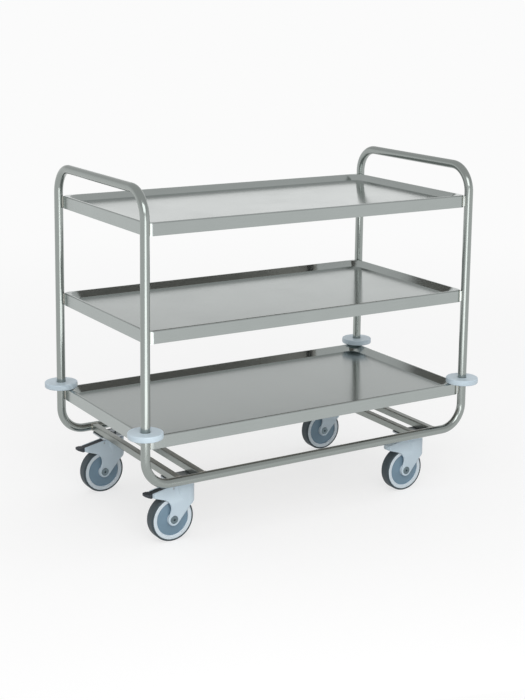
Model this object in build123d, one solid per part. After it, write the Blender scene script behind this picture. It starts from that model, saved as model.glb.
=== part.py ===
from build123d import *
import os
from math import acos, asin, atan2, cos, hypot, radians, sin, tan

# Three-tier serving trolley: a bent stainless tube frame carries three pressed
# shelves and stands on four swivel casters, two of them with a brake pedal.
# Millimetres, +Z up, +X along the length, -Y is the side a user faces.
# The origin is on the floor below the middle of the frame.

# Tube frame
TUBE_R = 12.5
TUBE_WALL = 1.5
POST_X = 523.0
POST_Y = 268.0
HANDLE_Z = 955.5
HANDLE_BEND = 74.0
RAIL_Z = 180.0
RAIL_BEND = 70.0
JOINT_Z = 321.8
SPIGOT_R = TUBE_R - TUBE_WALL - 0.05
SPIGOT_BORE_R = 8.5
SPIGOT_LENGTH = 60.0

# Pressed shelves
SHELF_X = 1034.0
SHELF_Y = 532.0
SHELF_CORNER_R = 20.0
SHELF_UNDERSIDES = {"bottom": 278.5, "middle": 558.5, "top": 838.5}
RIM_HEIGHT = 35.0
RIM_ROLL_R = 4.0
RIM_WIDTH = 7.0
WELL_DEPTH = 16.0
WELL_SLOPE_WIDTH = 18.0
WELL_TOP_R = 45.0
WELL_DECK_R = 28.0
SHEET = 1.2
SLOPED_SHEET = 1.4
RETURN_FLANGE = 14.0

# Stiffener under each shelf, a folded hat section
STIFFENER_LENGTH = 940.0
STIFFENER_CROWN = 50.0
STIFFENER_DEPTH = 16.0
STIFFENER_FLANGE = 20.0

# Saddles that carry the shelf corners on the posts
SADDLE_WIDTH = 12.0
SADDLE_HEIGHT = 30.0
SADDLE_REACH = 24.0

# Deflector rollers on the posts
BUMPER_R = 47.0
BUMPER_THICKNESS = 16.0
BUMPER_EDGE_R = 3.0
BUMPER_BORE_CHAMFER = 2.0
BUMPER_Z = 314.2
RUNNING_CLEARANCE = 0.05
MATCH = 0.01

# Square cross members under the bottom shelf
BAR_SIZE = 20.0
BAR_CORNER_R = 3.0
BAR_WALL = 1.5
BAR_HALF_SPACING = 36.25
BAR_UNDERSIDE = RAIL_Z - BAR_SIZE / 2

# Casters, in their own frame: the swivel axis is local X = Y = 0
CASTER_X = 386.0
CASTER_Y = 214.0
TRAIL = 37.0
WHEEL_R = 62.5
TYRE_HALF_WIDTH = 16.0
TYRE_EDGE_R = 4.0
RIM_R = 57.5
RIM_SETBACK = 0.5
RIM_CHAMFER = 1.0
KEY_HALF_WIDTH = 4.0
KEY_DEPTH = 3.0
COVER_R = 46.5
COVER_SEAT_Y = 10.0
COVER_LEDGE = 4.0
COVER_THICKNESS = 2.0
COVER_DISH = 3.5
WEB_HALF_THICKNESS = 5.0
SEAT_GAP = 0.1
HUB_R = 17.0
HUB_HALF_LENGTH = 20.5
BEARING_R = 12.0
BEARING_WIDTH = 8.0
AXLE_R = 5.0
AXLE_CAP_R = 11.3
AXLE_CAP_THICKNESS = 2.8
AXLE_CAP_PROUD = 1.0
AXLE_CAP_CHAMFER = 1.0
AXLE_NUT_SKIN = 1.2
AXLE_SOCKET_ACROSS = 6.0
AXLE_SOCKET_DEPTH = 4.0

# Caster plate and its fasteners
PLATE_X = 100.0
PLATE_Y = 70.0
PLATE_THICKNESS = 4.0
PLATE_CORNER_R = 8.0
BOLT_HALF_SPACING_Y = 22.0
BOLT_R = 3.95
BOLT_HOLE_R = 4.25
BOLT_HEAD_ACROSS = 13.0
BOLT_HEAD_HEIGHT = 5.3
BOLT_TOP_Z = 181.0
NUT_HEIGHT = 6.5
NUT_BORE_R = 4.0
KING_PIN_R = 6.0
KING_PIN_HEAD_R = 10.0
KING_PIN_HEAD_HEIGHT = 6.0
KING_PIN_NUT_HEIGHT = 3.5

# Fork housing
FORK_HALF_WIDTH = 25.0
FORK_WALL = 4.0
FORK_TOP = 156.0
HEAD_REAR_X = 8.0
HEAD_FRONT_X = -4.0
CREST_START_X = -22.0
CREST_SLOPE = 11.5
CROWN_HALF_WIDTH = 14.0
HOOD_TAPER_HEIGHT = 45.0
NOSE_CENTRE_X = -78.0
NOSE_R = 20.0
FORK_CROWN_R = 1.5
FORK_KNEE_R = 60.0
FORK_OUTLINE_R = 2.0
CROWN_MIN_NORMAL_Z = 0.3
LEG_END_R = 17.0
LEG_REAR_ANGLE = 50.3
REAR_STEP = (11.0, 94.0)
REAR_WALL_BOTTOM = 105.0
REAR_STEP_R = 25.0
NOTCH_CENTRE = (-72.0, 94.5)
NOTCH_R = 26.4
NOSE_UNDERSIDE_SLOPE = 16.7
SWIVEL_BOSS_R = 15.0
SWIVEL_BOSS_BOTTOM = 144.0
BEARING_RING_R = 24.0
BEARING_RING_BORE_R = 8.0
BEARING_GROOVE_DEPTH = 2.0
BEARING_GROOVE_HALF = 1.5
BEARING_GAP = 0.4

# Brake pedal on the left pair of casters
PIVOT = (-34.0, 146.5)
PIVOT_PIN_R = 3.0
PIVOT_PIN_HALF_LENGTH = 14.5
PIVOT_BOSS_R = 6.0
PEDAL_HALF_WIDTH = 10.4
PEDAL_TOP_DROP = 1.0
PEDAL_THICKNESS = 8.0
PEDAL_ARM_END_X = -95.0
PEDAL_SLOT_X = -25.0
PEDAL_SLOT_HALF_WIDTH = 11.0
PEDAL_SLOT_DEPTH = 41.0
PAD_ROOT = (-97.0, 134.5)
PAD_ROOT_R = 6.5
PAD_TIP = (-114.5, 138.0)
PAD_TIP_R = 3.0
PAD_PLAN_R = 13.0
PAD_GROOVE_R = 1.3
PAD_GRIPS_X = (-100.5, -105.5, -110.5)
PAD_GRIP_R = 1.0
BRAKE_ANGLE = 8.0
BRAKE_GAP = 0.5
BRAKE_BLOCK_X = (-59.0, -47.0)
BRAKE_BLOCK_HALF_WIDTH = 10.0
BRAKE_BLOCK_BOTTOM = 110.0

CASTERS = {
    "front_left": (-CASTER_X, -CASTER_Y, True),
    "rear_left": (-CASTER_X, CASTER_Y, True),
    "front_right": (CASTER_X, -CASTER_Y, False),
    "rear_right": (CASTER_X, CASTER_Y, False),
}
CORNERS = {
    "front_left": (-POST_X, -POST_Y),
    "rear_left": (-POST_X, POST_Y),
    "front_right": (POST_X, -POST_Y),
    "rear_right": (POST_X, POST_Y),
}


# Shared helpers

def bent_tube(corners, bend):
    """Sweep the round tube along straight runs joined by bends."""
    path = FilletPolyline(*corners, radius=bend)
    ring = Circle(TUBE_R) - Circle(TUBE_R - TUBE_WALL)
    return sweep(Plane(origin=path @ 0, z_dir=path % 0) * ring, path=path)


def side_slab(face, half_width):
    """Extrude an X-Z outline to both sides of the middle plane."""
    return extrude(Plane.XZ * face, amount=half_width, both=True)


def turned_on_axle(points):
    """Revolve a radius and Y outline about the wheel's axle."""
    profile = make_face(Polyline(*points, close=True))
    return revolve(profile, axis=Axis.Y)


def turned_upright(points):
    """Revolve a radius and Z outline about the swivel axis."""
    profile = make_face(Polyline(*points, close=True))
    return revolve(Plane.XZ * profile, axis=Axis.Z)


def at_axle(shape):
    """Move a wheel piece from the origin to the caster's axle."""
    return Pos(-TRAIL, 0, WHEEL_R) * shape


def both_sides(piece):
    """Give a piece and its mirror image across the middle plane."""
    return [piece, mirror(piece, about=Plane.XZ)]


# Frame

def end_frame(x):
    """Two posts and the handle bar above them, bent from one tube."""
    return bent_tube(
        [(x, -POST_Y, JOINT_Z), (x, -POST_Y, HANDLE_Z), (x, POST_Y, HANDLE_Z), (x, POST_Y, JOINT_Z)],
        HANDLE_BEND,
    )


def base_rail(y):
    """Lower rail of one long side, bent up into the feet of two posts."""
    return bent_tube(
        [(-POST_X, y, JOINT_Z), (-POST_X, y, RAIL_Z), (POST_X, y, RAIL_Z), (POST_X, y, JOINT_Z)],
        RAIL_BEND,
    )


def post_spigots():
    """Sleeves inside the tubes where each post meets its base rail."""
    sleeve = extrude(Circle(SPIGOT_R) - Circle(SPIGOT_BORE_R), SPIGOT_LENGTH)
    return [Pos(x, y, JOINT_Z - SPIGOT_LENGTH / 2) * sleeve for x, y in CORNERS.values()]


def cross_bar(x):
    """Square tube across the base, its ends coped to the round rails."""
    outer = RectangleRounded(BAR_SIZE, BAR_SIZE, BAR_CORNER_R)
    inner_size = BAR_SIZE - 2 * BAR_WALL
    inner = RectangleRounded(inner_size, inner_size, BAR_CORNER_R - BAR_WALL)
    bar = extrude(Plane.XZ * (outer - inner), amount=POST_Y, both=True)
    bar = Pos(x, 0, RAIL_Z) * bar
    rail = Rot(0, 90, 0) * Cylinder(TUBE_R, 4 * BAR_SIZE)
    for y in (-POST_Y, POST_Y):
        bar -= Pos(x, y, RAIL_Z) * rail
    for caster_y in (-CASTER_Y, CASTER_Y):
        for step in (-BOLT_HALF_SPACING_Y, BOLT_HALF_SPACING_Y):
            bar -= Pos(x, caster_y + step, BAR_UNDERSIDE) * Cylinder(BOLT_HOLE_R, 2 * BAR_WALL + 1)
    return bar


# Shelves

def rounded_slab(inset, corner_r, bottom, height):
    """Upright slab with the shelf's plan, drawn in by an inset."""
    plan = RectangleRounded(SHELF_X - 2 * inset, SHELF_Y - 2 * inset, corner_r)
    return extrude(Pos(0, 0, bottom) * plan, height)


def rolled_top(slab, radius):
    """Round the upper edge of a slab."""
    return fillet(slab.faces().sort_by(Axis.Z)[-1].edges(), radius)


def shelf_well(rim_top):
    """The sloped recess that makes the tray, from the rim down to the deck."""
    deck_inset = RIM_WIDTH + WELL_SLOPE_WIDTH
    upper = RectangleRounded(SHELF_X - 2 * RIM_WIDTH, SHELF_Y - 2 * RIM_WIDTH, WELL_TOP_R)
    deck = RectangleRounded(SHELF_X - 2 * deck_inset, SHELF_Y - 2 * deck_inset, WELL_DECK_R)
    return loft([Pos(0, 0, rim_top - WELL_DEPTH) * deck, Pos(0, 0, rim_top) * upper], ruled=True)


def shelf(underside):
    """Pressed sheet tray: skirt, rolled rim, sloped well and return flange."""
    rim_top = underside + RIM_HEIGHT
    well = shelf_well(rim_top)
    outside = rolled_top(rounded_slab(0, SHELF_CORNER_R, underside, RIM_HEIGHT), RIM_ROLL_R)
    hollow = rounded_slab(SHEET, SHELF_CORNER_R - SHEET, underside, RIM_HEIGHT - SLOPED_SHEET)
    hollow = rolled_top(hollow, RIM_ROLL_R - SHEET)
    hollow -= Pos(0, 0, -SLOPED_SHEET) * well
    flange = rounded_slab(0, SHELF_CORNER_R, underside, SHEET)
    flange -= rounded_slab(RETURN_FLANGE, SHELF_CORNER_R - RETURN_FLANGE, underside, SHEET)
    return outside - well - hollow + flange


def shelf_stiffener(underside):
    """Folded hat section that runs along the underside of a deck."""
    deck_under = underside + RIM_HEIGHT - WELL_DEPTH - SLOPED_SHEET
    crown = Rectangle(STIFFENER_CROWN, STIFFENER_DEPTH, align=(Align.CENTER, Align.MAX))
    hollow = Rectangle(STIFFENER_CROWN - 2 * SHEET, STIFFENER_DEPTH - SHEET, align=(Align.CENTER, Align.MAX))
    flange_width = STIFFENER_CROWN + 2 * STIFFENER_FLANGE
    flange = Rectangle(flange_width, SHEET, align=(Align.CENTER, Align.MAX))
    section = (crown + flange) - hollow
    return Pos(0, 0, deck_under) * extrude(Plane.YZ * section, amount=STIFFENER_LENGTH / 2, both=True)


def shelf_saddles():
    """Blocks welded between each rounded shelf corner and its post."""
    block = Box(SADDLE_REACH, SADDLE_WIDTH, SADDLE_HEIGHT)
    block = Pos(SHELF_X / 2, SHELF_Y / 2, RIM_HEIGHT / 2) * Rot(0, 0, 45) * block
    block -= rounded_slab(0, SHELF_CORNER_R, 0, RIM_HEIGHT)
    block -= Pos(POST_X, POST_Y, RIM_HEIGHT / 2) * Cylinder(TUBE_R, RIM_HEIGHT)
    saddle = block.solids().sort_by_distance((0, 0, 0))[0]
    left = mirror(saddle, about=Plane.YZ)
    ring = [saddle, left, mirror(saddle, about=Plane.XZ), mirror(left, about=Plane.XZ)]
    return [Pos(0, 0, under) * piece for under in SHELF_UNDERSIDES.values() for piece in ring]


def bumper():
    """Round deflector roller that turns on a post above the bottom shelf."""
    disc = extrude(Circle(BUMPER_R), BUMPER_THICKNESS)
    disc = fillet(disc.edges(), BUMPER_EDGE_R)
    bore_r = TUBE_R + RUNNING_CLEARANCE
    disc -= Cylinder(bore_r, 4 * BUMPER_THICKNESS)
    mouths = [edge for edge in disc.edges().filter_by(GeomType.CIRCLE) if abs(edge.radius - bore_r) < MATCH]
    return chamfer(mouths, BUMPER_BORE_CHAMFER)


# Caster plate and fasteners

def bolt_places():
    """Centres of the four plate bolts about one swivel axis."""
    steps = (-BOLT_HALF_SPACING_Y, BOLT_HALF_SPACING_Y)
    return [(x, y) for x in (-BAR_HALF_SPACING, BAR_HALF_SPACING) for y in steps]


def caster_plate():
    """Flat top plate of a caster, under a pair of cross bars."""
    plan = RectangleRounded(PLATE_X, PLATE_Y, PLATE_CORNER_R) - Circle(KING_PIN_R)
    for x, y in bolt_places():
        plan -= Pos(x, y) * Circle(BOLT_HOLE_R)
    return extrude(Pos(0, 0, BAR_UNDERSIDE - PLATE_THICKNESS) * plan, PLATE_THICKNESS)


def plate_bolt():
    """Hexagon bolt, head under the plate and shank up into the bar."""
    head_top = BAR_UNDERSIDE - PLATE_THICKNESS
    hexagon = RegularPolygon(BOLT_HEAD_ACROSS / 2, 6, major_radius=False)
    head = extrude(Pos(0, 0, head_top - BOLT_HEAD_HEIGHT) * hexagon, BOLT_HEAD_HEIGHT)
    return head + extrude(Pos(0, 0, head_top) * Circle(BOLT_R), BOLT_TOP_Z - head_top)


def plate_nut():
    """Nut welded inside the cross bar above a bolt hole."""
    hexagon = RegularPolygon(BOLT_HEAD_ACROSS / 2, 6, major_radius=False, rotation=30)
    return extrude(Pos(0, 0, BAR_UNDERSIDE + BAR_WALL) * (hexagon - Circle(NUT_BORE_R)), NUT_HEIGHT)


def king_pin():
    """Pin that the fork swivels on, headed above the plate and nutted below."""
    nut_top = SWIVEL_BOSS_BOTTOM - BEARING_GAP
    nut_bottom = nut_top - KING_PIN_NUT_HEIGHT
    head_top = BAR_UNDERSIDE + KING_PIN_HEAD_HEIGHT
    return turned_upright([
        (0, nut_bottom), (KING_PIN_HEAD_R, nut_bottom), (KING_PIN_HEAD_R, nut_top), (KING_PIN_R, nut_top),
        (KING_PIN_R, BAR_UNDERSIDE), (KING_PIN_HEAD_R, BAR_UNDERSIDE), (KING_PIN_HEAD_R, head_top),
        (0, head_top),
    ])


# Fork housing

def inner_tangent(centre_a, radius_a, centre_b, radius_b):
    """Ends of the line that touches two circles and passes between them."""
    along = atan2(centre_b[1] - centre_a[1], centre_b[0] - centre_a[0])
    spread = hypot(centre_b[0] - centre_a[0], centre_b[1] - centre_a[1])
    turn = along + acos((radius_a + radius_b) / spread)
    start = (centre_a[0] + radius_a * cos(turn), centre_a[1] + radius_a * sin(turn))
    end = (centre_b[0] - radius_b * cos(turn), centre_b[1] - radius_b * sin(turn))
    return start, end


def crest_height(x, drop):
    """Height at a local X of the line that runs a drop below the hood's falling top."""
    return FORK_TOP - drop - (CREST_START_X - x) * tan(radians(CREST_SLOPE))


def fork_outline():
    """Side view of the housing: hood, nose, notch and the leg to the axle."""
    axle = (-TRAIL, WHEEL_R)
    leg_left, notch_low = inner_tangent(axle, LEG_END_R, NOTCH_CENTRE, NOTCH_R)
    rear_turn = radians(LEG_REAR_ANGLE)
    leg_right = (axle[0] + LEG_END_R * sin(rear_turn), axle[1] - LEG_END_R * cos(rear_turn))
    leg_bottom = (axle[0], axle[1] - LEG_END_R)
    slope = radians(NOSE_UNDERSIDE_SLOPE)
    notch_high = (NOTCH_CENTRE[0] + NOTCH_R * sin(slope), NOTCH_CENTRE[1] + NOTCH_R * cos(slope))
    notch_side = (NOTCH_CENTRE[0] + NOTCH_R, NOTCH_CENTRE[1])
    past_nose = NOSE_CENTRE_X - NOSE_R - FORK_WALL
    nose_low = (past_nose, notch_high[1] + (notch_high[0] - past_nose) * tan(slope))
    rear_x = HEAD_REAR_X + FORK_HALF_WIDTH
    edges = [
        ThreePointArc(leg_left, leg_bottom, leg_right),
        Polyline(leg_right, REAR_STEP, (rear_x, REAR_WALL_BOTTOM), (rear_x, FORK_TOP)),
        Polyline((rear_x, FORK_TOP), (CREST_START_X, FORK_TOP), (past_nose, crest_height(past_nose, 0))),
        Polyline((past_nose, crest_height(past_nose, 0)), nose_low, notch_high),
        ThreePointArc(notch_high, notch_side, notch_low),
        Line(notch_low, leg_left),
    ]
    face = make_face(edges)
    step = face.vertices().sort_by_distance((REAR_STEP[0], REAR_STEP[1], 0))[0]
    return fillet(step, REAR_STEP_R)


def hood(inset):
    """Room within the housing's walls: a hood that narrows to its top, and the round head."""
    slope = radians(CREST_SLOPE)
    half = FORK_HALF_WIDTH - inset
    crown = CROWN_HALF_WIDTH - inset
    crest = crest_height(HEAD_REAR_X, 0)
    knee = crest - HOOD_TAPER_HEIGHT
    section = make_face(Polyline(
        (-half, -FORK_TOP), (half, -FORK_TOP), (half, knee), (crown, crest), (-crown, crest), (-half, knee),
        close=True,
    ))
    section = fillet(section.vertices().group_by(Axis.Y)[1], FORK_KNEE_R)
    section = fillet(section.vertices().group_by(Axis.Y)[-1], FORK_CROWN_R)
    length = HEAD_REAR_X - NOSE_CENTRE_X + NOSE_R
    forward = (-cos(slope), 0, -sin(slope))
    sides = extrude(Pos(HEAD_REAR_X, 0, 0) * (Plane.YZ * section), amount=length / cos(slope), dir=forward)
    straight = Rectangle(length, 2 * FORK_HALF_WIDTH, align=(Align.MIN, Align.CENTER))
    sides &= extrude(Pos(NOSE_CENTRE_X, 0) * (Circle(NOSE_R - inset) + straight), 2 * FORK_TOP)
    head = SlotCenterToCenter(HEAD_REAR_X - HEAD_FRONT_X, 2 * half)
    return sides + extrude(Pos((HEAD_REAR_X + HEAD_FRONT_X) / 2, 0) * head, FORK_TOP)


def fork_hollow():
    """Space inside the housing for the wheel, open at the bottom."""
    ceiling = FORK_TOP - FORK_WALL
    far = NOSE_CENTRE_X - NOSE_R
    rear = HEAD_REAR_X + FORK_HALF_WIDTH
    below = make_face(Polyline(
        (far, 0), (rear, 0), (rear, ceiling), (CREST_START_X, ceiling), (far, crest_height(far, FORK_WALL)),
        close=True,
    ))
    return side_slab(below, FORK_HALF_WIDTH) & hood(FORK_WALL)


def outline_border(solid):
    """Edges where the lower outline meets the housing's walls."""
    found = []
    for face in solid.faces():
        flat = face.geom_type == GeomType.PLANE and abs(face.normal_at().Y) < MATCH
        bent = face.geom_type == GeomType.CYLINDER and abs(face.axis_of_rotation.direction.Y) > 1 - MATCH
        upper = face.normal_at().Z > CROWN_MIN_NORMAL_Z and face.center().Z > REAR_WALL_BOTTOM
        if (flat or bent) and not upper:
            found += face.edges()
    return [edge for edge in found if sum(edge.is_same(other) for other in found) == 1]


def fork(braked):
    """Moulded fork housing with two legs, a swivel boss and axle seats."""
    body = side_slab(fork_outline(), 2 * FORK_HALF_WIDTH) & hood(0)
    body = fillet(outline_border(body), FORK_OUTLINE_R)
    body -= fork_hollow()
    boss_height = FORK_TOP - SWIVEL_BOSS_BOTTOM
    body += extrude(Pos(0, 0, SWIVEL_BOSS_BOTTOM) * Circle(SWIVEL_BOSS_R), boss_height)
    body -= Pos(0, 0, FORK_TOP) * Cylinder(KING_PIN_R + RUNNING_CLEARANCE, 4 * boss_height)
    body -= at_axle(Rot(90, 0, 0) * Cylinder(AXLE_R, 4 * FORK_HALF_WIDTH))
    seat_depth = AXLE_CAP_THICKNESS - AXLE_CAP_PROUD
    seat = Rot(90, 0, 0) * Cylinder(AXLE_CAP_R + SEAT_GAP, 2 * seat_depth)
    for piece in both_sides(at_axle(Pos(0, -FORK_HALF_WIDTH, 0) * seat)):
        body -= piece
    if braked:
        slot_length = PEDAL_SLOT_X - NOSE_CENTRE_X + NOSE_R
        slot = Box(2 * slot_length, 2 * PEDAL_SLOT_HALF_WIDTH, 2 * PEDAL_SLOT_DEPTH)
        body -= Pos(PEDAL_SLOT_X - slot_length, 0, FORK_TOP) * slot
        body -= Pos(PIVOT[0], 0, PIVOT[1]) * Rot(90, 0, 0) * Cylinder(PIVOT_PIN_R, 4 * FORK_HALF_WIDTH)
    return body


def swivel_bearing():
    """Waisted bearing ring between the fork and the caster plate."""
    top = BAR_UNDERSIDE - PLATE_THICKNESS - BEARING_GAP
    waist = (FORK_TOP + top) / 2
    return turned_upright([
        (BEARING_RING_BORE_R, FORK_TOP), (BEARING_RING_R, FORK_TOP),
        (BEARING_RING_R, waist - BEARING_GROOVE_HALF),
        (BEARING_RING_R - BEARING_GROOVE_DEPTH, waist), (BEARING_RING_R, waist + BEARING_GROOVE_HALF),
        (BEARING_RING_R, top), (BEARING_RING_BORE_R, top),
    ])


# Wheel

def tyre():
    """Tread ring with rounded shoulders, keyed into the rim's groove."""
    section = make_face(Polyline(
        (WHEEL_R, -TYRE_HALF_WIDTH), (WHEEL_R, TYRE_HALF_WIDTH), (RIM_R, TYRE_HALF_WIDTH),
        (RIM_R, KEY_HALF_WIDTH),
        (RIM_R - KEY_DEPTH, KEY_HALF_WIDTH), (RIM_R - KEY_DEPTH, -KEY_HALF_WIDTH), (RIM_R, -KEY_HALF_WIDTH),
        (RIM_R, -TYRE_HALF_WIDTH), close=True,
    ))
    shoulders = section.vertices().group_by(Axis.X)[-1]
    return at_axle(revolve(fillet(shoulders, TYRE_EDGE_R), axis=Axis.Y))


def wheel_rim():
    """Moulded wheel centre: hub, web and the pale ring beside the tyre."""
    groove_r = RIM_R - KEY_DEPTH
    ledge_r = COVER_R - COVER_LEDGE
    side = TYRE_HALF_WIDTH - RIM_SETBACK
    edge = side - RIM_CHAMFER
    bearing_in = HUB_HALF_LENGTH - BEARING_WIDTH
    sleeve_r = (AXLE_R + BEARING_R) / 2
    half = [
        (RIM_R, KEY_HALF_WIDTH), (RIM_R, edge), (RIM_R - RIM_CHAMFER, side), (COVER_R + RIM_CHAMFER, side),
        (COVER_R, edge), (COVER_R, COVER_SEAT_Y), (ledge_r, COVER_SEAT_Y), (ledge_r, WEB_HALF_THICKNESS),
        (HUB_R, WEB_HALF_THICKNESS), (HUB_R, HUB_HALF_LENGTH), (BEARING_R, HUB_HALF_LENGTH),
        (BEARING_R, bearing_in), (sleeve_r, bearing_in),
    ]
    outline = [(groove_r, KEY_HALF_WIDTH)] + half
    outline += [(r, -y) for r, y in reversed(outline)]
    return at_axle(turned_on_axle(outline))


def wheel_covers():
    """Dished thread guards that close both sides of the wheel."""
    inner_r = HUB_R + SEAT_GAP
    outer_r = COVER_R - SEAT_GAP
    crown = COVER_SEAT_Y + COVER_DISH
    disc = turned_on_axle([
        (outer_r, COVER_SEAT_Y), (outer_r, COVER_SEAT_Y + COVER_THICKNESS),
        (inner_r, crown + COVER_THICKNESS), (inner_r, crown), (COVER_R - COVER_LEDGE, COVER_SEAT_Y),
    ])
    return both_sides(at_axle(disc))


def wheel_bearings():
    """Ball bearings at both ends of the hub, as closed rings."""
    bearing_in = HUB_HALF_LENGTH - BEARING_WIDTH
    bore = AXLE_R + RUNNING_CLEARANCE
    ring = turned_on_axle([
        (bore, bearing_in), (BEARING_R, bearing_in), (BEARING_R, HUB_HALF_LENGTH), (bore, HUB_HALF_LENGTH),
    ])
    return both_sides(at_axle(ring))


def axle():
    """Axle bolt with a round socket head, and the cap nut on its other end."""
    cap_out = FORK_HALF_WIDTH + AXLE_CAP_PROUD
    cap_in = cap_out - AXLE_CAP_THICKNESS
    cap_edge = cap_out - AXLE_CAP_CHAMFER
    flat_r = AXLE_CAP_R - AXLE_CAP_CHAMFER
    shank_end = cap_out - AXLE_NUT_SKIN
    bolt = turned_on_axle([
        (0, -cap_out), (flat_r, -cap_out), (AXLE_CAP_R, -cap_edge), (AXLE_CAP_R, -cap_in),
        (AXLE_R, -cap_in), (AXLE_R, shank_end), (0, shank_end),
    ])
    nut = turned_on_axle([
        (0, cap_out), (flat_r, cap_out), (AXLE_CAP_R, cap_edge), (AXLE_CAP_R, cap_in),
        (AXLE_R, cap_in), (AXLE_R, shank_end), (0, shank_end),
    ])
    hexagon = RegularPolygon(AXLE_SOCKET_ACROSS / 2, 6, major_radius=False)
    bolt -= Pos(0, AXLE_SOCKET_DEPTH - cap_out, 0) * Rot(90, 0, 0) * extrude(hexagon, 2 * AXLE_SOCKET_DEPTH)
    return [at_axle(bolt), at_axle(nut)]


# Brake

def pad_height(x):
    """Height of the foot pad's upper line, the tangent across its two rounds."""
    run = PAD_TIP[0] - PAD_ROOT[0]
    rise = PAD_TIP[1] - PAD_ROOT[1]
    tilt = atan2(rise, -run) + asin((PAD_TIP_R - PAD_ROOT_R) / hypot(run, rise))
    start = (PAD_ROOT[0] + PAD_ROOT_R * sin(tilt), PAD_ROOT[1] + PAD_ROOT_R * cos(tilt))
    return start[1] + (start[0] - x) * tan(tilt)


def brake_pedal():
    """Lever in the slot of the housing's nose, with a pivot boss and a foot pad."""
    under = PEDAL_TOP_DROP + PEDAL_THICKNESS
    arm_end = (PEDAL_ARM_END_X, crest_height(PEDAL_ARM_END_X, PEDAL_TOP_DROP))
    arm = make_face(Polyline(
        (PIVOT[0], crest_height(PIVOT[0], PEDAL_TOP_DROP)), arm_end,
        (PEDAL_ARM_END_X, crest_height(PEDAL_ARM_END_X, under)), (PIVOT[0], crest_height(PIVOT[0], under)),
        close=True,
    ))
    root = Pos(*PAD_ROOT) * Circle(PAD_ROOT_R)
    tip = Pos(*PAD_TIP) * Circle(PAD_TIP_R)
    pad = make_hull(root.edges() + tip.edges())
    side = arm + pad + Pos(*PIVOT) * Circle(PIVOT_BOSS_R)
    side -= Pos(*arm_end) * Circle(PAD_GROOVE_R)
    for x in PAD_GRIPS_X:
        side -= Pos(x, pad_height(x)) * Circle(PAD_GRIP_R)
    lever = side_slab(side, PAD_PLAN_R)
    pad_centre = PAD_TIP[0] - PAD_TIP_R + PAD_PLAN_R
    straight = Rectangle(-pad_centre, 2 * PEDAL_HALF_WIDTH, align=(Align.MIN, Align.CENTER))
    lever &= extrude(Pos(pad_centre, 0) * (Circle(PAD_PLAN_R) + straight), 2 * FORK_TOP)
    bore = Rot(90, 0, 0) * Cylinder(PIVOT_PIN_R + RUNNING_CLEARANCE, 4 * FORK_HALF_WIDTH)
    return lever - Pos(PIVOT[0], 0, PIVOT[1]) * bore


def brake_block():
    """Friction block under the pedal, shaped to meet the tyre when pressed."""
    under = PEDAL_TOP_DROP + PEDAL_THICKNESS
    x_left, x_right = BRAKE_BLOCK_X
    slab = make_face(Polyline(
        (x_left, crest_height(x_left, under)), (x_left, BRAKE_BLOCK_BOTTOM), (x_right, BRAKE_BLOCK_BOTTOM),
        (x_right, crest_height(x_right, under)), close=True,
    ))
    back = radians(-BRAKE_ANGLE)
    arm_x = -TRAIL - PIVOT[0]
    arm_z = WHEEL_R - PIVOT[1]
    released = (
        PIVOT[0] + arm_x * cos(back) - arm_z * sin(back),
        PIVOT[1] + arm_x * sin(back) + arm_z * cos(back),
    )
    slab -= Pos(*released) * Circle(WHEEL_R + BRAKE_GAP)
    return side_slab(slab, BRAKE_BLOCK_HALF_WIDTH)


def pedal_pin():
    """Pivot pin of the pedal, held by both walls of the housing."""
    pin = Rot(90, 0, 0) * Cylinder(PIVOT_PIN_R, 2 * PIVOT_PIN_HALF_LENGTH)
    return Pos(PIVOT[0], 0, PIVOT[1]) * pin


# Assembly

def frame_nodes():
    """Every node that stays with the tube frame."""
    nodes = {
        "left_end_frame": [end_frame(-POST_X)],
        "right_end_frame": [end_frame(POST_X)],
        "front_base_rail": [base_rail(-POST_Y)],
        "rear_base_rail": [base_rail(POST_Y)],
        "post_spigots": post_spigots(),
        "shelf_saddles": shelf_saddles(),
        "shelf_stiffeners": [shelf_stiffener(under) for under in SHELF_UNDERSIDES.values()],
    }
    base_shelf = shelf(0)
    for name, under in SHELF_UNDERSIDES.items():
        nodes[name + "_shelf"] = [Pos(0, 0, under) * base_shelf]
    for side, centre in (("left", -CASTER_X), ("right", CASTER_X)):
        outward = 1 if centre > 0 else -1
        nodes[side + "_outer_cross_bar"] = [cross_bar(centre + outward * BAR_HALF_SPACING)]
        nodes[side + "_inner_cross_bar"] = [cross_bar(centre - outward * BAR_HALF_SPACING)]
    roller = bumper()
    for name, (x, y) in CORNERS.items():
        nodes[name + "_bumper"] = [Pos(x, y, BUMPER_Z) * roller]
    return nodes


def caster_nodes():
    """Every node of the four casters, built once and set at each corner."""
    forks = {True: fork(True), False: fork(False)}
    shared = {
        "caster_plate": [caster_plate()],
        "swivel_bearing": [swivel_bearing()],
        "axle": axle(),
        "wheel_rim": [wheel_rim()],
        "tyre": [tyre()],
        "wheel_covers": wheel_covers(),
        "wheel_bearings": wheel_bearings(),
    }
    braking = {"brake_pedal": [brake_pedal()], "brake_block": [brake_block()], "pedal_pin": [pedal_pin()]}
    pin = king_pin()
    bolt = plate_bolt()
    nut = plate_nut()
    nodes = {"king_pins": [], "plate_bolts": [], "plate_nuts": []}
    for name, (x, y, braked) in CASTERS.items():
        place = Pos(x, y, 0)
        pieces = dict(shared, fork=[forks[braked]], **(braking if braked else {}))
        for piece_name, solids in pieces.items():
            nodes[name + "_" + piece_name] = [place * solid for solid in solids]
        nodes["king_pins"].append(place * pin)
        for bolt_x, bolt_y in bolt_places():
            nodes["plate_bolts"].append(place * Pos(bolt_x, bolt_y, 0) * bolt)
            nodes["plate_nuts"].append(place * Pos(bolt_x, bolt_y, 0) * nut)
    return nodes


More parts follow.
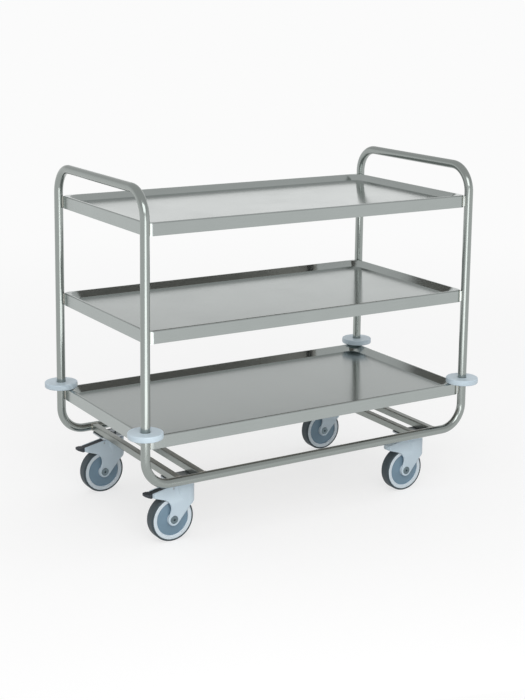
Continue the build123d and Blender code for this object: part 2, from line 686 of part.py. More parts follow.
def main():
    os.makedirs("parts", exist_ok=True)
    for name, solids in {**frame_nodes(), **caster_nodes()}.items():
        pieces = [solid for shape in solids for solid in shape.solids()]
        export_step(pieces[0] if len(pieces) == 1 else Compound(pieces), "parts/" + name + ".step")


main()
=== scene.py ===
"""Dressed scene of a three-tier serving trolley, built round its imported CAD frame.

All sizes are metres in the frame of the CAD model: +Z up, +X along the length,
-Y towards the user, the origin on the floor below the middle of the trolley.
"""
from __future__ import annotations

import logging
import math
from dataclasses import dataclass
from enum import Enum
from typing import Any, Iterable, Mapping, Optional, Sequence

import bmesh
import bpy
from mathutils import Matrix, Vector


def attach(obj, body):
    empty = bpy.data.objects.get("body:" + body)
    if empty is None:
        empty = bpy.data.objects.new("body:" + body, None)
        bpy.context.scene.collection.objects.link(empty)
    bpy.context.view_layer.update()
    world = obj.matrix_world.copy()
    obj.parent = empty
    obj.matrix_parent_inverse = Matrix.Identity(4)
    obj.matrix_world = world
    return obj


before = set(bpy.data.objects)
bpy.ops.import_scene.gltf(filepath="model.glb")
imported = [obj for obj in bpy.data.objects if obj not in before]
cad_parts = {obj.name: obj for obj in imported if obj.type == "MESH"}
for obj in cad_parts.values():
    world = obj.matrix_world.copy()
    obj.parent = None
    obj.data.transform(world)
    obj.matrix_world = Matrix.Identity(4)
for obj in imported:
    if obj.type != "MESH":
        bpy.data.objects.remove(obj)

LOG = logging.getLogger("trolley")
MM = 0.001
# Heading of the camera, which the end wall of the room stands across
VIEW_YAW = math.radians(31.753)
# Outer radius of posts, handles and rails
TUBE_RADIUS = 12.5 * MM
# Values between which most of a noise texture lies
NOISE_SPAN = (0.3, 0.7)
# Distance within which the points of two weld ripples are merged
MERGE_DISTANCE = 0.01 * MM


# Shared helpers

def linear(hex_colour: str) -> tuple[float, float, float, float]:
    """Turn an sRGB hex colour into linear RGBA.

    Args:
        hex_colour: Six digits after a hash sign.

    Returns:
        Linear red, green, blue and an alpha of one.
    """
    channels = [int(hex_colour[i:i + 2], 16) / 255 for i in (1, 3, 5)]
    bent = [c / 12.92 if c <= 0.04045 else ((c + 0.055) / 1.055) ** 2.4 for c in channels]
    return (bent[0], bent[1], bent[2], 1.0)


def per_metre(size_mm: float) -> float:
    """Give the texture scale whose features are about size_mm across."""
    return 1.0 / (size_mm * MM)


def add_node(
    tree: bpy.types.NodeTree,
    kind: str,
    settings: Optional[Mapping[str, Any]] = None,
    inputs: Optional[Mapping[Any, Any]] = None,
) -> bpy.types.Node:
    """Add a shader node with its settings, socket values and links.

    Args:
        tree: The node tree that receives the node.
        kind: Blender's type name of the node.
        settings: Attributes to set on the node.
        inputs: Value or source socket for each input, by name or index.

    Returns:
        The new node.
    """
    node = tree.nodes.new(kind)
    for key, value in (settings or {}).items():
        setattr(node, key, value)
    for key, value in (inputs or {}).items():
        if isinstance(value, bpy.types.NodeSocket):
            tree.links.new(value, node.inputs[key])
        else:
            node.inputs[key].default_value = value
    return node


def new_material(name: str) -> tuple[bpy.types.Material, bpy.types.NodeTree, bpy.types.Node]:
    """Make an empty material.

    Args:
        name: Name of the material.

    Returns:
        The material, its cleared node tree and its output node.
    """
    material = bpy.data.materials.new(name)
    material.use_nodes = True
    tree = material.node_tree
    tree.nodes.clear()
    return material, tree, tree.nodes.new("ShaderNodeOutputMaterial")


def dress(nodes: Iterable[str], material: bpy.types.Material) -> None:
    """Give CAD nodes a material and report each of them.

    Args:
        nodes: Names of the CAD nodes.
        material: The finish that they get.
    """
    for name in nodes:
        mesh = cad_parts[name].data
        mesh.materials.clear()
        mesh.materials.append(material)
        LOG.info("dressed %s in %s", name, material.name)


# Finishes

class Grain(Enum):
    """How the grinding lines of a steel surface run."""

    ROUND = "lines too fine to have a direction, as on ground tube"
    LENGTHWISE = "lines along the sheet's length, turned down with its skirts"


@dataclass(frozen=True)
class GroundSteel:
    """Stainless steel, ground with fine grit: soft mirror with faint lines.

    Args:
        name: Name of the material.
        light: Lighter tint of the steel.
        dark: Darker tint, between the grinding lines.
        roughness: Mean roughness of the surface.
        spread: How far roughness varies with the grain and smudges.
        grain: How the grinding lines run.
        line_mm: Width of one grinding line, drawn coarser than grit 240 so that it shows.
        run_mm: Length of one grinding line.
        smudge_mm: Size of the cloudy patches left by wiping.
        brushing: How far reflections stretch across the grinding lines.
        relief: Strength of the relief of the grinding lines.
        underside: Warmer tint given to the surfaces that face down.
        underside_roughness: Roughness of the surface that faces down.
        underside_turn: Heights of the normal between which a surface turns into underside.
        smudge_share: Share of the smudges in the tone; the grinding lines have the rest.
        relief_mm: Depth of the grinding lines.
        end_tangent: Small vector that gives the end skirts a direction to stretch in.
    """

    name: str
    light: str
    dark: str
    roughness: float
    spread: float
    grain: Grain
    line_mm: float = 0.9
    run_mm: float = 70.0
    smudge_mm: float = 130.0
    brushing: float = 0.0
    relief: float = 0.03
    underside: Optional[str] = None
    underside_roughness: float = 0.5
    underside_turn: tuple[float, float] = (-0.4, -0.7)
    smudge_share: float = 0.45
    relief_mm: float = 0.02
    end_tangent: tuple[float, float, float] = (0.0, 0.05, 0.0)

    def lines(self, tree: bpy.types.NodeTree, place: bpy.types.NodeSocket) -> bpy.types.NodeSocket:
        """Draw the grinding lines.

        Args:
            tree: Node tree of the material.
            place: Object coordinates.

        Returns:
            Socket with the height of the lines, about 0 to 1.
        """
        fine = per_metre(self.line_mm)
        if self.grain is Grain.ROUND:
            return add_node(
                tree, "ShaderNodeTexNoise", inputs={"Vector": place, "Scale": fine, "Detail": 2.0},
            ).outputs["Fac"]
        run = per_metre(self.run_mm)
        streaks = []
        for scale in ((run, fine, fine), (fine, fine, run)):
            stretched = add_node(tree, "ShaderNodeMapping", inputs={"Vector": place, "Scale": scale})
            streaks.append(add_node(
                tree, "ShaderNodeTexNoise",
                inputs={
                    "Vector": stretched.outputs["Vector"], "Scale": 1.0, "Detail": 3.0, "Roughness": 0.6,
                },
            ).outputs["Fac"])
        facing = add_node(tree, "ShaderNodeNewGeometry")
        normal = add_node(tree, "ShaderNodeSeparateXYZ", inputs={0: facing.outputs["Normal"]})
        endways = add_node(tree, "ShaderNodeMath", {"operation": "ABSOLUTE"}, {0: normal.outputs["X"]})
        return add_node(
            tree, "ShaderNodeMix", {"data_type": "FLOAT"},
            {"Factor": endways.outputs[0], "A": streaks[0], "B": streaks[1]},
        ).outputs["Result"]

    def stretch(self, tree: bpy.types.NodeTree) -> bpy.types.NodeSocket:
        """Find the direction in which reflections stretch, across lines that run lengthwise.

        Args:
            tree: Node tree of the material.

        Returns:
            Socket with a tangent; on the end skirts it falls back to the sheet's width.
        """
        normal = add_node(tree, "ShaderNodeNewGeometry").outputs["Normal"]
        across = add_node(
            tree, "ShaderNodeVectorMath", {"operation": "CROSS_PRODUCT"}, {0: normal, 1: (1.0, 0.0, 0.0)},
        )
        return add_node(
            tree, "ShaderNodeVectorMath", {"operation": "ADD"},
            {0: across.outputs["Vector"], 1: self.end_tangent},
        ).outputs["Vector"]

    def facing_down(self, tree: bpy.types.NodeTree) -> bpy.types.NodeSocket:
        """Tell undersides from the rest.

        Args:
            tree: Node tree of the material.

        Returns:
            Socket that is 1 where the surface faces down and 0 where it does not.
        """
        normal = add_node(tree, "ShaderNodeNewGeometry").outputs["Normal"]
        height = add_node(tree, "ShaderNodeSeparateXYZ", inputs={0: normal}).outputs["Z"]
        start, end = self.underside_turn
        return add_node(
            tree, "ShaderNodeMapRange",
            inputs={"Value": height, "From Min": start, "From Max": end, "To Min": 0.0, "To Max": 1.0},
        ).outputs["Result"]

    def build(self) -> bpy.types.Material:
        """Make the material.

        Returns:
            The finished material.
        """
        material, tree, output = new_material(self.name)
        place = add_node(tree, "ShaderNodeTexCoord").outputs["Object"]
        lines = self.lines(tree, place)
        smudge = add_node(
            tree, "ShaderNodeTexNoise",
            inputs={
                "Vector": place, "Scale": per_metre(self.smudge_mm), "Detail": 4.0, "Roughness": 0.55,
            },
        )
        tone = add_node(
            tree, "ShaderNodeMix", {"data_type": "FLOAT"},
            {"Factor": self.smudge_share, "A": lines, "B": smudge.outputs["Fac"]},
        )
        colour = add_node(
            tree, "ShaderNodeValToRGB", inputs={"Fac": tone.outputs["Result"]},
        )
        for stop, position, tint in zip(colour.color_ramp.elements, NOISE_SPAN, (self.dark, self.light)):
            stop.position = position
            stop.color = linear(tint)
        gloss = add_node(
            tree, "ShaderNodeMapRange",
            inputs={
                "Value": tone.outputs["Result"], "From Min": NOISE_SPAN[0], "From Max": NOISE_SPAN[1],
                "To Min": self.roughness + self.spread, "To Max": self.roughness - self.spread,
            },
        )
        relief = add_node(
            tree, "ShaderNodeBump",
            inputs={"Height": lines, "Strength": self.relief, "Distance": self.relief_mm * MM},
        )
        tint, dullness = colour.outputs["Color"], gloss.outputs["Result"]
        if self.underside is not None:
            below = self.facing_down(tree)
            tint = add_node(
                tree, "ShaderNodeMix", {"data_type": "RGBA"},
                {"Factor": below, "A": tint, "B": linear(self.underside)},
            ).outputs["Result"]
            dullness = add_node(
                tree, "ShaderNodeMix", {"data_type": "FLOAT"},
                {"Factor": below, "A": dullness, "B": self.underside_roughness},
            ).outputs["Result"]
        shader = add_node(
            tree, "ShaderNodeBsdfPrincipled",
            inputs={
                "Base Color": tint, "Metallic": 1.0, "Roughness": dullness,
                "Normal": relief.outputs["Normal"], "Anisotropic": self.brushing,
            },
        )
        if self.brushing > 0.0:
            tree.links.new(self.stretch(tree), shader.inputs["Tangent"])
        tree.links.new(shader.outputs["BSDF"], output.inputs["Surface"])
        return material


@dataclass(frozen=True)
class Moulding:
    """Injection moulded plastic or rubber with a fine eroded texture.

    Args:
        name: Name of the material.
        light: Colour of the raised spots of the texture.
        dark: Colour of the hollows between them.
        roughness: Mean roughness of the surface.
        spread: How far roughness varies.
        stipple_mm: Size of the texture's spots.
        relief_mm: Depth of the texture.
        cloud_mm: Size of the faint flow marks in the colour.
        sheen: Weight of the dusty sheen of rubber.
        cloud_share: Share of the flow marks in the tone; the spots have the rest.
        relief: Strength of the texture's relief.
    """

    name: str
    light: str
    dark: str
    roughness: float
    spread: float = 0.06
    stipple_mm: float = 0.8
    relief_mm: float = 0.03
    cloud_mm: float = 45.0
    sheen: float = 0.0
    cloud_share: float = 0.6
    relief: float = 0.5

    def build(self) -> bpy.types.Material:
        """Make the material.

        Returns:
            The finished material.
        """
        material, tree, output = new_material(self.name)
        place = add_node(tree, "ShaderNodeTexCoord").outputs["Object"]
        stipple = add_node(
            tree, "ShaderNodeTexNoise",
            inputs={"Vector": place, "Scale": per_metre(self.stipple_mm), "Detail": 2.0},
        )
        cloud = add_node(
            tree, "ShaderNodeTexNoise",
            inputs={"Vector": place, "Scale": per_metre(self.cloud_mm), "Detail": 3.0, "Roughness": 0.5},
        )
        tone = add_node(
            tree, "ShaderNodeMix", {"data_type": "FLOAT"},
            {"Factor": self.cloud_share, "A": stipple.outputs["Fac"], "B": cloud.outputs["Fac"]},
        )
        colour = add_node(
            tree, "ShaderNodeValToRGB", inputs={"Fac": tone.outputs["Result"]},
        )
        for stop, position, tint in zip(colour.color_ramp.elements, NOISE_SPAN, (self.dark, self.light)):
            stop.position = position
            stop.color = linear(tint)
        gloss = add_node(
            tree, "ShaderNodeMapRange",
            inputs={
                "Value": tone.outputs["Result"], "From Min": NOISE_SPAN[0], "From Max": NOISE_SPAN[1],
                "To Min": self.roughness - self.spread, "To Max": self.roughness + self.spread,
            },
        )
        relief = add_node(
            tree, "ShaderNodeBump",
            inputs={
                "Height": stipple.outputs["Fac"], "Strength": self.relief, "Distance": self.relief_mm * MM,
            },
        )
        shader = add_node(
            tree, "ShaderNodeBsdfPrincipled",
            inputs={
                "Base Color": colour.outputs["Color"], "Roughness": gloss.outputs["Result"],
                "Normal": relief.outputs["Normal"], "Sheen Weight": self.sheen,
            },
        )
        tree.links.new(shader.outputs["BSDF"], output.inputs["Surface"])
        return material


# Stainless tube, centreless ground: soft mirror with no grain direction to the eye
GROUND_TUBE = GroundSteel(
    "stainless_tube_ground", "#9ba19e", "#979d9a", 0.17, 0.01, Grain.ROUND, relief=0.01,
)
# Stainless sheet, belt ground along its length: faint streaks, mirrors blurred across them, dull below
GROUND_SHEET = GroundSteel(
    "stainless_sheet_ground", "#abb1af", "#a5aba9", 0.12, 0.015, Grain.LENGTHWISE,
    brushing=1.0, relief=0.03, underside="#c0bcb7",
)
# Square stainless bar, ground as the tube is but duller
GROUND_BAR = GroundSteel("stainless_bar_ground", "#9a9f9b", "#8d928e", 0.30, 0.05, Grain.ROUND)
# Zinc plated pressed steel: greyer and duller than stainless
ZINC_PLATE = GroundSteel(
    "zinc_plated_steel", "#b6bcc0", "#a2a9ae", 0.38, 0.08, Grain.ROUND, line_mm=1.4, smudge_mm=25.0,
)
# Axle bolt with dark passivated zinc: dull blue grey
DARK_ZINC = GroundSteel(
    "zinc_dark_passivated", "#75848a", "#6a787e", 0.45, 0.06, Grain.ROUND, line_mm=1.0, smudge_mm=12.0,
)
# Weld bead brushed clean: slightly straw tinted by the heat
WELD_STEEL = GroundSteel(
    "stainless_weld", "#c2bfb6", "#a9a69d", 0.34, 0.08, Grain.ROUND, line_mm=1.2, smudge_mm=8.0,
)
# Moulded polyamide of the caster housings and bumper discs: pale blue grey, satin
PALE_POLYAMIDE = Moulding("polyamide_pale_grey", "#d1e1eb", "#c9dae5", 0.36)
# Moulded polypropylene wheel centre, seen as a ring between tread and cover: near white blue grey
RING_PLASTIC = Moulding("polypropylene_pale_ring", "#e2edf4", "#dbe7ef", 0.42)
# Moulded polypropylene thread guard: mid blue grey, satin
COVER_PLASTIC = Moulding("polypropylene_grey_cover", "#7e98aa", "#738d9f", 0.36)
# Thermoplastic rubber tread: charcoal with a dusty bloom
TREAD_RUBBER = Moulding(
    "rubber_tread_charcoal", "#435056", "#38454b", 0.68, 0.08,
    stipple_mm=1.2, relief_mm=0.05, cloud_mm=20.0, sheen=0.15,
)
# Glass filled polyamide pedal: near black blue grey
DARK_POLYAMIDE = Moulding(
    "polyamide_dark_pedal", "#353c42", "#2b3137", 0.45, 0.07,
    stipple_mm=0.9, relief_mm=0.04, cloud_mm=25.0,
)


# Welds

@dataclass
class WeldRun:
    """Rippled weld beads, gathered in one mesh.

    Args:
        name: Name of the finished piece.
        radius: Radius of the bead.
        ripple: Share by which the radius rises and falls along the bead.
        roundness: Steps in which the bead's section is rounded.
    """

    name: str
    radius: float = 1.7 * MM
    ripple: float = 0.22
    roundness: int = 2

    def __post_init__(self) -> None:
        """Start with an empty mesh."""
        self.shape = bmesh.new()

    def lay(self, points: Sequence[Vector], closed: bool) -> None:
        """Add one bead.

        Args:
            points: Places along the seam, about one ripple apart.
            closed: True where the bead ends where it began.
        """
        curve = bpy.data.curves.new("seam", "CURVE")
        curve.dimensions = "3D"
        curve.bevel_depth = self.radius
        curve.bevel_resolution = self.roundness
        curve.use_fill_caps = True
        spline = curve.splines.new("POLY")
        spline.points.add(len(points) - 1)
        for index, (knot, place) in enumerate(zip(spline.points, points)):
            knot.co = (*place, 1.0)
            knot.radius = 1.0 + self.ripple * (-1) ** index
        spline.use_cyclic_u = closed
        holder = bpy.data.objects.new("seam", curve)
        mesh = bpy.data.meshes.new_from_object(holder)
        self.shape.from_mesh(mesh)
        bpy.data.objects.remove(holder)
        bpy.data.curves.remove(curve)
        bpy.data.meshes.remove(mesh)

    def finish(self, body: str, material: bpy.types.Material) -> bpy.types.Object:
        """Turn the beads into a piece that rides on a body.

        Args:
            body: Name of the CAD body.
            material: Finish of the weld metal.

        Returns:
            The finished object.
        """
        bmesh.ops.remove_doubles(self.shape, verts=self.shape.verts, dist=MERGE_DISTANCE)
        bmesh.ops.recalc_face_normals(self.shape, faces=self.shape.faces)
        for face in self.shape.faces:
            face.smooth = True
        mesh = bpy.data.meshes.new(self.name)
        self.shape.to_mesh(mesh)
        self.shape.free()
        mesh.materials.append(material)
        piece = bpy.data.objects.new(self.name, mesh)
        bpy.context.scene.collection.objects.link(piece)
        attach(piece, body)
        LOG.info("made %s", self.name)
        return piece


# Sub-assemblies

@dataclass
class TubeFrame:
    """Bent tube frame with its cross bars and the welds that join them.

    Args:
        rail_y: Distance of the base rails from the middle.
        rail_z: Height of the base rails' centre lines.
        bar_size: Width of the square bars.
        bar_corner: Corner radius of the bars' section.
        bar_centres: Places of the bars along the length.
        ripples_per_corner: Weld ripples round each corner of a bar.
        ripples_per_side: Weld ripples along each flat side of a bar.
    """

    rail_y: float = 268.0 * MM
    rail_z: float = 180.0 * MM
    bar_size: float = 20.0 * MM
    bar_corner: float = 3.0 * MM
    bar_centres: tuple[float, ...] = (-422.25 * MM, -349.75 * MM, 349.75 * MM, 422.25 * MM)
    ripples_per_corner: int = 3
    ripples_per_side: int = 8

    def bar_outline(self) -> list[tuple[float, float]]:
        """Walk round a bar's rounded square section.

        Returns:
            Places as (x, z) from the middle of the bar.
        """
        reach = self.bar_size / 2 - self.bar_corner
        places = []
        for quarter, (sx, sz) in enumerate(((1, 1), (-1, 1), (-1, -1), (1, -1))):
            for step in range(self.ripples_per_corner + 1):
                turn = math.radians(90 * (quarter + step / self.ripples_per_corner))
                places.append((
                    sx * reach + self.bar_corner * math.cos(turn),
                    sz * reach + self.bar_corner * math.sin(turn),
                ))
            following = math.radians(90 * (quarter + 1))
            along = Vector((-math.sin(following), math.cos(following)))
            start = Vector(places[-1])
            for step in range(1, self.ripples_per_side):
                places.append(tuple(start + along * 2 * reach * step / self.ripples_per_side))
        return places

    def build(self) -> None:
        """Lay the welds where the bars' ends meet the round rails."""
        run = WeldRun("bar_welds")
        for centre in self.bar_centres:
            for side in (-1, 1):
                seam = []
                for x, z in self.bar_outline():
                    depth = math.sqrt(TUBE_RADIUS ** 2 - z ** 2)
                    seam.append(Vector((centre + x, side * (self.rail_y - depth), self.rail_z + z)))
                run.lay(seam, closed=True)
        run.finish("frame", WELD_STEEL.build())

    def dress(self) -> None:
        """Give tubes and bars their ground steel."""
        tubes = ("left_end_frame", "right_end_frame", "front_base_rail", "rear_base_rail", "post_spigots")
        dress(tubes, GROUND_TUBE.build())
        bars = [f"{side}_{place}_cross_bar" for side in ("left", "right") for place in ("outer", "inner")]
        dress(bars, GROUND_BAR.build())


@dataclass
class Shelves:
    """Three pressed trays, their stiffeners and the welded saddles that carry them.

    Args:
        undersides: Heights of the trays' lower edges.
        corner_centre: Centre of a tray corner's rounding, in plan.
        corner_radius: Outer radius of that rounding.
        post: Centre of a post, in plan.
        saddle_half_width: Half the width of a saddle.
        saddle_bottom: Height of a saddle's foot above the tray's lower edge.
        saddle_top: Height of a saddle's top above the tray's lower edge.
        bead: Radius of the weld beads.
        ripples: Weld ripples along one seam.
    """

    undersides: tuple[float, ...] = (278.5 * MM, 558.5 * MM, 838.5 * MM)
    corner_centre: tuple[float, float] = (497.0 * MM, 246.0 * MM)
    corner_radius: float = 20.0 * MM
    post: tuple[float, float] = (523.0 * MM, 268.0 * MM)
    saddle_half_width: float = 6.0 * MM
    saddle_bottom: float = 2.5 * MM
    saddle_top: float = 32.5 * MM
    bead: float = 0.9 * MM
    ripples: int = 14

    def seams(self) -> list[Vector]:
        """Find the upright seams at one saddle.

        Returns:
            The foot of each seam in plan, for the corner at +X and +Y.
        """
        out = Vector((1.0, 1.0)).normalized()
        across = Vector((-out.y, out.x))
        half = self.saddle_half_width
        start = Vector(self.corner_centre)
        to_post = Vector(self.post) - start
        places = []
        for side in (-1, 1):
            line = start + across * half * side
            places.append(line + out * math.sqrt(self.corner_radius ** 2 - half ** 2))
            aside = to_post.dot(across) - half * side
            places.append(line + out * (to_post.dot(out) - math.sqrt(TUBE_RADIUS ** 2 - aside ** 2)))
        return places

    def build(self) -> None:
        """Lay the welds beside every saddle."""
        run = WeldRun("saddle_welds", self.bead)
        height = self.saddle_top - self.saddle_bottom
        for under in self.undersides:
            for sx in (-1, 1):
                for sy in (-1, 1):
                    for seam in self.seams():
                        run.lay([
                            Vector((
                                sx * seam.x, sy * seam.y,
                                under + self.saddle_bottom + height * step / self.ripples,
                            ))
                            for step in range(self.ripples + 1)
                        ], closed=False)
        run.finish("frame", bpy.data.materials[WELD_STEEL.name])

    def dress(self) -> None:
        """Give trays, stiffeners and saddles their ground sheet steel."""
        sheet = GROUND_SHEET.build()
        dress(("bottom_shelf", "middle_shelf", "top_shelf", "shelf_stiffeners", "shelf_saddles"), sheet)


class Corner(Enum):
    """The four corners of the trolley; only the left pair of casters has brakes."""

    FRONT_LEFT = "front_left"
    REAR_LEFT = "rear_left"
    FRONT_RIGHT = "front_right"
    REAR_RIGHT = "rear_right"

    @property
    def braked(self) -> bool:
        """True where the caster has a brake pedal."""
        return self.value.endswith("left")


@dataclass
class Casters:
    """Swivel casters with moulded forks, wheels and brakes, and the bumpers above them."""

    def dress(self) -> None:
        """Give every caster piece and bumper its finish."""
        zinc = ZINC_PLATE.build()
        axle = DARK_ZINC.build()
        pale = PALE_POLYAMIDE.build()
        ring = RING_PLASTIC.build()
        cover = COVER_PLASTIC.build()
        tread = TREAD_RUBBER.build()
        dark = DARK_POLYAMIDE.build()
        dress(("king_pins", "plate_bolts", "plate_nuts"), zinc)
        for corner in Corner:
            name = corner.value
            dress([f"{name}_{piece}" for piece in ("bumper", "fork")], pale)
            plated = ("caster_plate", "swivel_bearing", "wheel_bearings")
            dress([f"{name}_{piece}" for piece in plated], zinc)
            dress([f"{name}_axle"], axle)
            dress([f"{name}_wheel_rim"], ring)
            dress([f"{name}_wheel_covers"], cover)
            dress([f"{name}_tyre"], tread)
            if corner.braked:
                dress([f"{name}_brake_pedal", f"{name}_brake_block"], dark)
                dress([f"{name}_pedal_pin"], zinc)


# Studio

@dataclass(frozen=True)
class PhotographCamera:
    """Camera at the photograph's viewpoint, for a frame of 525 by 700.

    Args:
        yaw: Turn from +Y towards +X.
        pitch: Tilt below the horizon.
        roll: Turn about the line of sight.
        lens_mm: Focal length.
        sensor_mm: Width of the sensor.
        shift_y: Shift of the lens, as a share of the sensor.
        place: Where the camera stands.
    """

    yaw: float = VIEW_YAW
    pitch: float = math.radians(9.935)
    roll: float = math.radians(0.663)
    lens_mm: float = 71.743
    sensor_mm: float = 36.0
    shift_y: float = -0.1714
    place: tuple[float, float, float] = (-2.0824, -3.3477, 1.4629)

    def build(self) -> None:
        """Make the camera and use it for the scene."""
        forward = Vector((
            math.sin(self.yaw) * math.cos(self.pitch),
            math.cos(self.yaw) * math.cos(self.pitch),
            -math.sin(self.pitch),
        ))
        right = Vector((math.cos(self.yaw), -math.sin(self.yaw), 0.0))
        up = right.cross(forward)
        side = right * math.cos(self.roll) + up * math.sin(self.roll)
        crown = up * math.cos(self.roll) - right * math.sin(self.roll)
        data = bpy.data.cameras.new("photograph_camera")
        data.lens = self.lens_mm
        data.sensor_width = self.sensor_mm
        data.shift_y = self.shift_y
        camera = bpy.data.objects.new("photograph_camera", data)
        turn = Matrix((side, crown, -forward)).transposed().to_4x4()
        camera.matrix_world = Matrix.Translation(self.place) @ turn
        bpy.context.scene.collection.objects.link(camera)
        bpy.context.scene.camera = camera
        LOG.info("placed %s", camera.name)


@dataclass(frozen=True)
class Softbox:
    """Rectangular soft light, out of the camera's sight.

    Args:
        name: Name of the light.
        place: Where it stands.
        aim: Point that it faces.
        width: Width of its face.
        height: Height of its face.
        radiance: Brightness of its face, where 1 is white.
    """

    name: str
    place: tuple[float, float, float]
    aim: tuple[float, float, float]
    width: float
    height: float
    radiance: float

    def build(self) -> None:
        """Make the light."""
        data = bpy.data.lights.new(self.name, "AREA")
        data.shape = "RECTANGLE"
        data.size = self.width
        data.size_y = self.height
        data.energy = self.radiance * math.pi * self.width * self.height
        light = bpy.data.objects.new(self.name, data)
        away = Vector(self.place) - Vector(self.aim)
        turn = away.to_track_quat("Z", "Y").to_matrix().to_4x4()
        light.matrix_world = Matrix.Translation(self.place) @ turn
        light.visible_camera = False
        bpy.context.scene.collection.objects.link(light)
        LOG.info("placed %s", light.name)


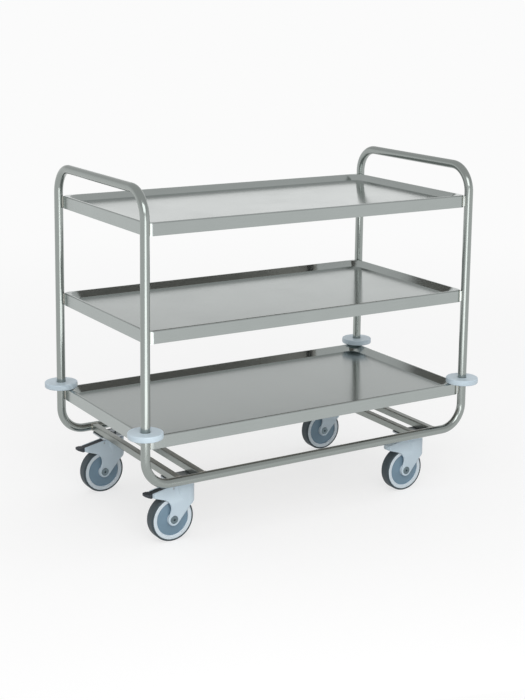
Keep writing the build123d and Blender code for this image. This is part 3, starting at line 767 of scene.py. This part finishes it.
@dataclass
class Studio:
    """White paper floor in a white room with an end wall and two soft lights.

    Args:
        floor_half: Half the length of the floor.
        white: Brightness of the paper in open light.
        room: Brightness of the room as the light that falls on matt things.
        grade_top: Highest level that the grading of the end wall may reach.
        zenith: Brightness overhead.
        zenith_rise: Sine of the elevation at which the walls have turned into the ceiling.
        wall: Brightness of the end wall, which the decks mirror, for elevations in degrees.
        wall_spread: Tangents of the half angles within which the end wall fades out sideways.
        matt_share: Albedo of the paper.
        glow_share: Evening out of the paper, seen by the camera and in mirrors only.
        fade: Radii between which the shadow fades out.
        key: Broad light above the camera's side.
        strip: Long light low in front, which draws the bright line on the posts.
    """

    floor_half: float = 60.0
    white: float = 0.965
    room: float = 0.75
    grade_top: float = 2.5
    zenith: float = 0.7
    zenith_rise: float = math.sin(math.radians(25.0))
    wall: tuple[tuple[float, float], ...] = (
        (0, 0.965), (4, 1.02), (8.5, 1.32), (11, 1.06), (14, 0.75), (17, 0.68), (21, 0.55), (40, 0.55),
    )
    wall_spread: tuple[float, float] = (0.24, 0.5)
    matt_share: float = 0.36
    glow_share: float = 0.66
    fade: tuple[float, float] = (1.6, 4.5)
    key: Softbox = Softbox(
        "key_softbox", place=(-1.25, -2.9, 2.6), aim=(0.0, 0.0, 0.4), width=3.0, height=1.8, radiance=2.2,
    )
    strip: Softbox = Softbox(
        "strip_softbox", place=(-0.97, -2.58, 0.75), aim=(-0.69, -1.71, 2.53), width=1.3, height=3.3,
        radiance=1.8,
    )

    def floor(self) -> None:
        """Make the floor."""
        shape = bmesh.new()
        bmesh.ops.create_grid(shape, x_segments=1, y_segments=1, size=self.floor_half)
        mesh = bpy.data.meshes.new("studio_floor")
        shape.to_mesh(mesh)
        shape.free()
        mesh.materials.append(self.floor_material())
        floor = bpy.data.objects.new("studio_floor", mesh)
        bpy.context.scene.collection.objects.link(floor)
        LOG.info("laid %s", floor.name)

    def ramp(
        self,
        tree: bpy.types.NodeTree,
        value: bpy.types.NodeSocket,
        across: tuple[float, float],
        levels: tuple[Any, Any],
    ) -> bpy.types.NodeSocket:
        """Run smoothly from one level to another.

        Args:
            tree: Node tree that receives the ramp.
            value: Socket with the value that drives it.
            across: Values at which the ramp begins and ends.
            levels: Number or socket that it gives at either end.

        Returns:
            Socket with the level.
        """
        return add_node(
            tree, "ShaderNodeMapRange", {"interpolation_type": "SMOOTHSTEP"},
            {
                "Value": value, "From Min": across[0], "From Max": across[1],
                "To Min": levels[0], "To Max": levels[1],
            },
        ).outputs["Result"]

    def calculate(
        self, tree: bpy.types.NodeTree, operation: str, first: Any, second: Any,
    ) -> bpy.types.NodeSocket:
        """Join two numbers or sockets.

        Args:
            tree: Node tree that receives the node.
            operation: Name of the operation of Blender's Math node.
            first: First number or socket.
            second: Second number or socket.

        Returns:
            Socket with the result.
        """
        result = add_node(tree, "ShaderNodeMath", {"operation": operation}, {0: first, 1: second})
        return result.outputs[0]

    def seen(self, tree: bpy.types.NodeTree) -> bpy.types.NodeSocket:
        """Tell what the camera and mirrors see from the light that falls on matt things.

        Args:
            tree: Node tree that receives the nodes.

        Returns:
            Socket that is 1 for the camera, for mirrors and through glass, and 0 otherwise.
        """
        rays = add_node(tree, "ShaderNodeLightPath").outputs
        straight = self.calculate(tree, "MAXIMUM", rays["Is Camera Ray"], rays["Is Glossy Ray"])
        return self.calculate(tree, "MAXIMUM", straight, rays["Is Transmission Ray"])

    def grade(
        self,
        tree: bpy.types.NodeTree,
        value: bpy.types.NodeSocket,
        levels: Sequence[tuple[float, float]],
    ) -> bpy.types.NodeSocket:
        """Grade brightness over a value between 0 and 1.

        Args:
            tree: Node tree that receives the nodes.
            value: Socket with the value.
            levels: Values and the brightness at each of them, rising.

        Returns:
            Socket with the brightness.
        """
        scale = add_node(tree, "ShaderNodeValToRGB", inputs={"Fac": value})
        stops = scale.color_ramp.elements
        while len(stops) < len(levels):
            stops.new(1.0)
        for stop, (position, level) in zip(stops, levels):
            grey = level / self.grade_top
            stop.position = position
            stop.color = (grey, grey, grey, 1.0)
        return self.calculate(tree, "MULTIPLY", scale.outputs["Color"], self.grade_top)

    def floor_material(self) -> bpy.types.Material:
        """Make matt paper that keeps the shadow near the trolley and turns evenly white further off.

        Returns:
            The material.
        """
        material, tree, output = new_material("white_paper_sweep")
        place = add_node(tree, "ShaderNodeTexCoord").outputs["Object"]
        seen = self.seen(tree)
        level = add_node(
            tree, "ShaderNodeMix", {"data_type": "FLOAT"},
            {"Factor": seen, "A": self.room, "B": self.white},
        )
        even = add_node(tree, "ShaderNodeEmission", inputs={"Strength": level.outputs["Result"]})
        glow = add_node(
            tree, "ShaderNodeEmission",
            inputs={"Strength": self.calculate(tree, "MULTIPLY", seen, self.glow_share)},
        )
        matt = add_node(tree, "ShaderNodeBsdfDiffuse", inputs={"Color": (*[self.matt_share] * 3, 1.0)})
        lit = add_node(
            tree, "ShaderNodeAddShader", inputs={0: matt.outputs["BSDF"], 1: glow.outputs["Emission"]},
        )
        radius = add_node(tree, "ShaderNodeVectorMath", {"operation": "LENGTH"}, {0: place})
        near = self.ramp(tree, radius.outputs["Value"], self.fade, (1.0, 0.0))
        surface = add_node(
            tree, "ShaderNodeMixShader",
            inputs={0: near, 1: even.outputs["Emission"], 2: lit.outputs["Shader"]},
        )
        tree.links.new(surface.outputs["Shader"], output.inputs["Surface"])
        return material

    def world(self) -> None:
        """Make the room: white walls, the ceiling and the end wall behind the trolley."""
        world = bpy.data.worlds.new("studio_room")
        world.use_nodes = True
        tree = world.node_tree
        tree.nodes.clear()
        way = add_node(tree, "ShaderNodeTexCoord").outputs["Generated"]
        rise = add_node(tree, "ShaderNodeSeparateXYZ", inputs={0: way}).outputs["Z"]
        level = add_node(
            tree, "ShaderNodeMix", {"data_type": "FLOAT"},
            {"Factor": self.seen(tree), "A": self.room, "B": self.white},
        )
        room = self.ramp(tree, rise, (0.0, self.zenith_rise), (level.outputs["Result"], self.zenith))
        axis = (math.sin(VIEW_YAW), math.cos(VIEW_YAW), 0.0)
        facing = add_node(tree, "ShaderNodeVectorMath", {"operation": "DOT_PRODUCT"}, {0: way, 1: axis})
        near, far = (math.cos(math.atan(slant)) for slant in self.wall_spread)
        share = self.ramp(tree, facing.outputs["Value"], (far, near), (0.0, 1.0))
        heights = [(math.sin(math.radians(degrees)), bright) for degrees, bright in self.wall]
        wall = self.grade(tree, rise, heights)
        colour = add_node(
            tree, "ShaderNodeMix", {"data_type": "FLOAT"}, {"Factor": share, "A": room, "B": wall},
        )
        background = add_node(
            tree, "ShaderNodeBackground", inputs={"Color": colour.outputs["Result"], "Strength": 1.0},
        )
        output = add_node(tree, "ShaderNodeOutputWorld")
        tree.links.new(background.outputs["Background"], output.inputs["Surface"])
        bpy.context.scene.world = world
        LOG.info("made %s", world.name)

    def build(self) -> None:
        """Make floor, room and lights."""
        self.floor()
        self.world()
        self.key.build()
        self.strip.build()


def main() -> None:
    """Build and dress the trolley, then light it."""
    logging.basicConfig(level=logging.INFO, format="%(message)s")
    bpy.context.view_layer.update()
    for assembly in (TubeFrame(), Shelves()):
        assembly.build()
        assembly.dress()
    Casters().dress()
    PhotographCamera().build()
    Studio().build()
    bpy.context.scene.view_settings.view_transform = "Standard"


if __name__ == "__main__":
    main()
